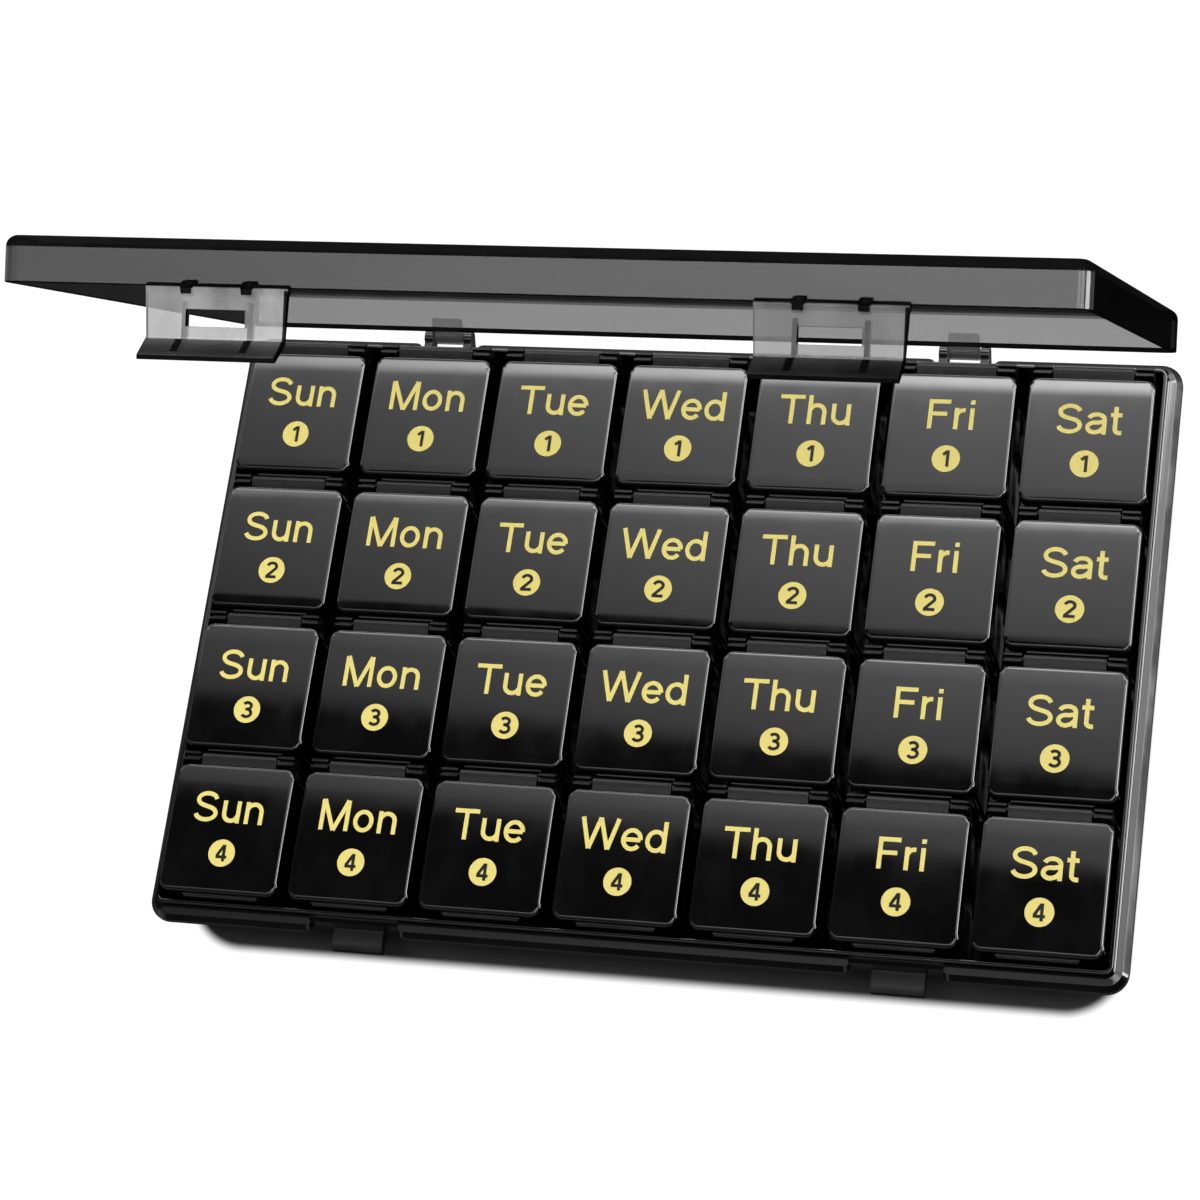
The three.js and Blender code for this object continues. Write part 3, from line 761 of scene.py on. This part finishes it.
def lug_shapes():
    """The lugs on the cover's front skirt that the latches turn on."""
    root, radius, rise, half = -(CAVITY_HALF[1] + 2.0), 1.6, 1.4, 1.1
    outline = [(root, SKIRT)] + arc((LATCH_Y, LATCH_Z), radius, -50, -252, 12) + [(root, SKIRT + rise)]
    middles = [x + side * LUG_X for x in (-LATCH_X, LATCH_X) for side in (-1, 1)]
    # The lugs take the black edge finish: painted shade in the gaps between the latch barrel's stretches
    return [recoloured(bar(outline, middle - half, middle + half), 2) for middle in middles]


def cover_knuckle_shapes():
    """The knuckles behind the cover, with the pins that sit in the tray's ears."""
    root, rise, half, radius, pin_half, pin_radius = CAVITY_HALF[1] + 1.65, 3.2, 3.5, 1.5, 5.9, 0.8
    web = [(root, SKIRT), (HINGE_Y - 0.9, HINGE_Z - 1.2), (HINGE_Y, HINGE_Z + radius)]
    web += [(CAVITY_HALF[1] + 2.7, SKIRT + rise), (root, SKIRT + rise)]
    knuckles = []
    for x in (-HINGE_X, HINGE_X):
        knuckles.append(bar(web, x - half, x + half))
        knuckles.append(rod(radius, x - half, x + half, HINGE_Y, HINGE_Z, 28))
        knuckles.append(rod(pin_radius, x - pin_half, x + pin_half, HINGE_Y, HINGE_Z, 20))
    return knuckles


def latch_shape():
    """A latch about its own pin, hanging as on the shut case."""
    half, taper, plate_out, plate_in, drop = 15.3, 0.5, -1.1, 0.3, 10.6
    tab_reach, tab_fall = plate_out - 4.6, -drop - 4.2
    section = [(plate_in, 0.0), (plate_in, -drop + 0.2), (plate_in - 0.2, -drop - 0.5)]
    section += [(plate_out - 4.05, tab_fall), (tab_reach, tab_fall)]
    section += [(tab_reach, -drop - 3.2), (plate_out - 0.35, -drop + 0.35)]
    section += [(plate_out, -drop + 1.0), (plate_out, 0.0)]
    plate = bar(section, -half, half, 0.12)
    for vert in plate.verts:
        vert.co.x *= 1 + taper / half * max(-1.0, vert.co.z / drop)

    # The window, and lines where the finish changes: a dark margin on the right, which is painted shade, and
    # two dark streaks below the ribs
    window_half, window_top, window_bottom, margin = 6.4, -4.2, -7.7, 0.8
    streak_in, streak_out, streak_end = 6.6, 8.2, -drop - 2.4
    places = [-window_half, window_half, half - margin, -streak_out, -streak_in, streak_in, streak_out]
    cut(plate, "X", places)
    cut(plate, "Z", [window_bottom, window_top, streak_end])
    opening = [
        face for face in plate.faces
        if abs(face.calc_center_median().x) < window_half
        and window_bottom < face.calc_center_median().z < window_top
        and abs(face.normal.y) > 0.9
    ]
    bmesh.ops.delete(plate, geom=opening, context="FACES")
    rim = [edge for edge in plate.edges if edge.is_boundary]
    bmesh.ops.bridge_loops(plate, edges=rim)

    def on_streak(centre, normal):
        return streak_in < abs(centre.x) < streak_out and streak_end < centre.z < -drop + 0.4

    recoloured(plate, 1, lambda centre, normal: centre.z < -drop)
    # The plate's edges, and as painted shade its right-hand margin, take the black edge finish
    recoloured(plate, 2, lambda centre, normal: abs(normal.y) < 0.3 or centre.x > half - margin)
    recoloured(plate, 2, lambda centre, normal: centre.z < -drop - 3.5)
    recoloured(plate, 2, on_streak)
    parts = [plate]

    # The barrel on top, in three stretches with the lugs between them, and the pin through it. The barrel's
    # black top is a painted shadow.
    barrel_radius, pin_radius, pin_half, lug_room = 1.1, 0.7, 14.8, 1.4
    beside, within = LUG_X + lug_room, LUG_X - lug_room
    for start, end in ((-half, -beside), (-within, within), (beside, half)):
        barrel = rod(barrel_radius, start, end, 0, 0, 24)
        # Painted shadow: the barrel's top and ends are black, for the gap under the cover's skirt
        parts.append(recoloured(barrel, 2, lambda centre, normal: normal.z > 0.3 or abs(normal.x) > 0.9))
    parts.append(recoloured(rod(pin_radius, -pin_half, pin_half, 0, 0, 16), 2))

    rib_x, rib_half, rib_top, rib_foot, rib_depth = 7.1, 0.5, -2.6, -drop - 0.6, plate_in + 1.2
    rib = [(plate_in - 0.5, rib_top), (plate_in - 0.5, rib_foot), (plate_in, rib_foot)]
    rib += [(rib_depth, -drop + 1.2), (rib_depth, -3.9), (plate_in, rib_top)]
    for side in (-1, 1):
        parts.append(recoloured(bar(rib, side * rib_x - rib_half, side * rib_x + rib_half, 0.1), 1))
    return together(*parts)


def make_cover():
    shape = together(cover_shape(), *lug_shapes(), *cover_knuckle_shapes())
    finishes = [smoke_plastic(), deep_smoke_plastic(), smoke_edge_plastic(), smoke_inside_plastic()]
    mesh = finished("cover_moulding", shape, finishes)
    placed("cover_moulding", mesh, "cover", opened(), ["cover"], solid=False)


def make_latches():
    # The left latch is lighter in colour than the right, which is painted light, and its tab shinier
    latches = {"latch_left": (-LATCH_X, 0.34, 0.2), "latch_right": (LATCH_X, 0.17, 0.05)}
    for name, (x, milkiness_and_painted_light, shine) in latches.items():
        tab = deep_smoke_plastic(f"{name}_tab", shine)
        finishes = [latch_plastic(f"{name}_smoke", milkiness_and_painted_light), tab, smoke_edge_plastic()]
        mesh = finished(name, latch_shape(), finishes)
        place = opened() @ Matrix.Translation((x, LATCH_Y, LATCH_Z))
        placed(f"{name}_moulding", mesh, name, place, [name], solid=False)


# Studio


def make_floor():
    """White to the eye but for a narrow painted shadow at the tray's foot, and a painted dark patch near the
    tray in reflections.
    """
    bpy.ops.mesh.primitive_plane_add(size=14)
    floor = bpy.context.object
    floor.name = "studio_floor"
    finish = Finish("studio_floor", Roughness=0.6)

    def beyond(half_width, front, rear):
        """How far a point lies outside a rectangle on the floor."""
        aside = (abs(finish.along("X")) - half_width).at_least(0.0)
        ahead = (abs(finish.along("Y") - (front + rear) / 2) - (rear - front) / 2).at_least(0.0)
        return (aside * aside + ahead * ahead) ** 0.5

    # Painted shade: near the tray the floor's base colour is darker and its glow to reflections fades, a
    # dark patch for the tray's shadow
    far = beyond(half_width=115, front=-80, rear=80).ramp(20, 160)
    # Painted shadow: the floor's glow to the camera fades out in a narrow band round the tray's foot
    clear = beyond(half_width=97, front=-61, rear=55).ramp(12.5, 15.5)
    finish.set("Base Color", finish.blend(far, grey(0.02), grey(0.08)))
    finish.set("Emission Color", grey(1.0))
    glow_with_painted_shadow = finish.seen_by("Camera") * clear + finish.seen_by("Glossy", "Transmission") * far * 0.5
    finish.set("Emission Strength", glow_with_painted_shadow)
    floor.data.materials.append(finish.material)


def make_world():
    """White where it is looked at and low round the horizon, a dim room above."""
    world = bpy.data.worlds.new("studio")
    bpy.context.scene.world = world
    nodes = Nodes(world)
    way = nodes.add("ShaderNodeTexCoord").outputs["Generated"]
    height = nodes.value("ShaderNodeSeparateXYZ", {}, {0: way}, 2)
    low = nodes.seen_by("Glossy") * height.ramp(0.02, 0.1, 0.4, 0.0)
    white = nodes.seen_by("Camera", "Transmission").at_least(low)
    room = nodes.seen_by("Glossy").ramp(0, 1, 0.14, 0.05)
    nodes.wire(nodes.tree.nodes["Background"].inputs["Strength"], white.at_least(room))
    nodes.wire(nodes.tree.nodes["Background"].inputs["Color"], grey(1.0))


def soft_box(name, place, aim, size, radiance, mirrored=True):
    """A rectangular lamp whose face has the given brightness. It is either only mirrored or only lights."""
    lamp = bpy.data.lights.new(name, "AREA")
    lamp.shape = "RECTANGLE"
    lamp.size, lamp.size_y = size[0] * MM, size[1] * MM
    lamp.energy = radiance * math.pi * lamp.size * lamp.size_y
    holder = bpy.data.objects.new(name, lamp)
    bpy.context.scene.collection.objects.link(holder)
    direction = Vector(aim) - Vector(place)
    turn = direction.to_track_quat("-Z", "Y").to_matrix().to_4x4()
    holder.matrix_world = Matrix.Translation(Vector(place) * MM) @ turn
    holder.visible_glossy = mirrored
    holder.visible_diffuse = not mirrored


def make_ceiling():
    """A glowing ceiling with a dark gap over the front rows, which the lids mirror."""
    bpy.ops.mesh.primitive_plane_add(size=1)
    ceiling = bpy.context.object
    ceiling.name = "studio_ceiling"
    low, high = Vector((-950, -1000, 1000)) * MM, Vector((1100, 1400, 1000)) * MM
    for vert in ceiling.data.vertices:
        vert.co = [high[axis] if vert.co[axis] > 0 else low[axis] for axis in range(3)]
    finish = Finish("studio_ceiling", Roughness=1.0)
    finish.set("Base Color", grey(0.0))
    finish.set("Emission Color", grey(1.0))
    across, depth = finish.along("X"), finish.along("Y")
    rear = (depth + across * 0.085 + 42).ramp(252, 288) * (depth * 0.005 - 0.35)
    far_rear = depth.ramp(500, 640, 0.0, 9.0)
    back_wall = depth.ramp(650, 780, 1.0, 0.12)
    front = depth.ramp(-330, -300, 0.6, 2.6) * depth.ramp(-90, -40, 1.0, 0.0)
    aside = across.ramp(380, 470, 0.0, 3.0)
    panels = (rear + far_rear) * back_wall + front
    finish.set("Emission Strength", panels * across.ramp(-700, 0, 0.55, 1.2) + aside)
    ceiling.data.materials.append(finish.material)
    ceiling.visible_camera = ceiling.visible_diffuse = ceiling.visible_shadow = False


def make_lights():
    soft_box("right_strip", place=(1060, 290, 270), aim=(110, 290, 20), size=(750, 490), radiance=18.0)
    soft_box("left_strip", place=(-1200, 700, 560), aim=(0, 700, 20), size=(700, 800), radiance=1.5)
    soft_box("rear_strip", place=(-100, 1500, 620), aim=(0, 0, 20), size=(1600, 120), radiance=16.0)
    soft_box("key", place=(-350, 100, 1100), aim=(0, 0, 0), size=(800, 800), radiance=5.7, mirrored=False)


def make_camera():
    """The camera where the photograph was taken from, its turn given in degrees."""
    lens, place, turned = 105.759, (204.7, -250.1, 764.74), (20.587, 13.727, 8.041)
    camera = bpy.data.cameras.new("camera")
    camera.lens = lens
    camera.sensor_width = 36
    camera.clip_start = 0.05
    holder = bpy.data.objects.new("camera", camera)
    bpy.context.scene.collection.objects.link(holder)
    turn = Euler([math.radians(angle) for angle in turned]).to_matrix().to_4x4()
    holder.matrix_world = Matrix.Translation(Vector(place) * MM) @ turn
    bpy.context.scene.camera = holder


make_camera()
make_floor()
make_world()
make_ceiling()
make_lights()
make_tray()
make_pods()
make_cover()
make_latches()
bpy.context.scene.view_settings.view_transform = "Standard"
